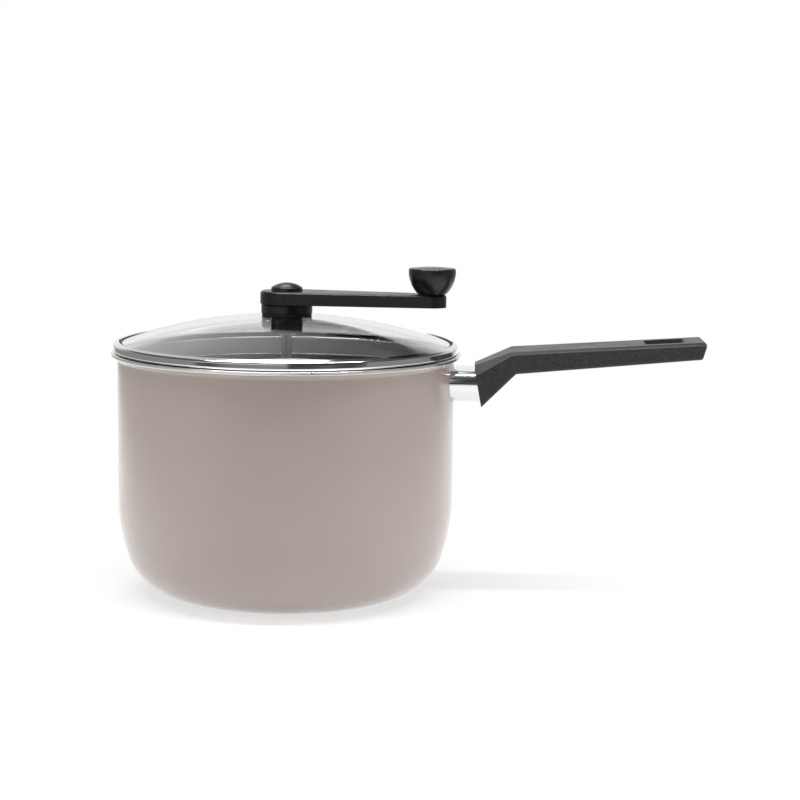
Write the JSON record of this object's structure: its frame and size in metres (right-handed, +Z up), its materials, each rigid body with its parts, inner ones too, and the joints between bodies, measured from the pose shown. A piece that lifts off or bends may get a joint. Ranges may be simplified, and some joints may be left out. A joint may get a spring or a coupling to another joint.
{
  "type": "stovetop popcorn popper",
  "caption": "Coated aluminium saucepan with a bent handle and a domed glass lid that carries a hand crank turning a wire stirrer over the pot floor.",
  "frame": {"origin": "centre of the pot base underside, on the pot axis", "axes": "+Z up along the pot and stirrer axis, +X from the pot axis towards the handle"},
  "size_m": [0.3581, 0.2114, 0.2005],
  "materials": {
    "coated_pot": "satin warm grey coating, dark inside, bare turned rim and base",
    "cast_aluminium": "as cast",
    "rivet_aluminium": "drawn",
    "bright_steel": "mirror polished",
    "grip_phenolic": "moulded phenolic, fine speckled grain",
    "zinc_steel": "zinc plated",
    "tempered_glass": "clear tempered",
    "polished_band": "rolled and polished stainless steel",
    "black_silicone": "moulded silicone",
    "black_nylon": "moulded, satin",
    "bush_brass": "turned",
    "glossy_cap": "moulded, half gloss",
    "satin_steel": "satin stainless steel",
    "white_acetal": "turned acetal"
  },
  "bodies": {
    "pot": {"pot_shell": "coated_pot", "handle_bracket": "cast_aluminium", "handle_rivets": "rivet_aluminium", "handle_ferrule": "bright_steel", "handle_grip": "grip_phenolic", "handle_screw": "zinc_steel", "handle_lock_washer": "zinc_steel"},
    "lid": {"lid_glass": "tempered_glass", "lid_band": "polished_band", "lid_edge_seal": "black_silicone", "bearing_boss": "black_nylon", "upper_seal_washer": "black_silicone", "lower_seal_washer": "black_silicone", "boss_nut": "black_nylon", "bearing_bush": "bush_brass"},
    "crank": {"crank_arm": "black_nylon", "hub_cap": "glossy_cap", "arm_screw": "zinc_steel", "arm_washer": "zinc_steel", "stirrer_shaft": "satin_steel", "shaft_clip": "zinc_steel", "stirrer_hub": "satin_steel", "stirrer_vane": "satin_steel", "stirrer_pin": "zinc_steel", "shaft_foot": "white_acetal", "knob_spindle": "zinc_steel"},
    "knob": {"crank_knob": "black_nylon", "knob_cap": "black_nylon"}
  },
  "joints": [
    {"name": "lid_lift", "type": "slide", "parent": "pot", "child": "lid", "axis": [0, 0, 1], "range_m": [0, 0.17]},
    {"name": "crank_spin", "type": "hinge", "parent": "lid", "child": "crank", "pos_m": [0, 0, 0.18], "axis": [0, 0, 1], "continuous": true},
    {"name": "knob_spin", "type": "hinge", "parent": "crank", "child": "knob", "pos_m": [0.08834, -0.01085, 0.19], "axis": [0, 0, 1], "continuous": true}
  ]
}
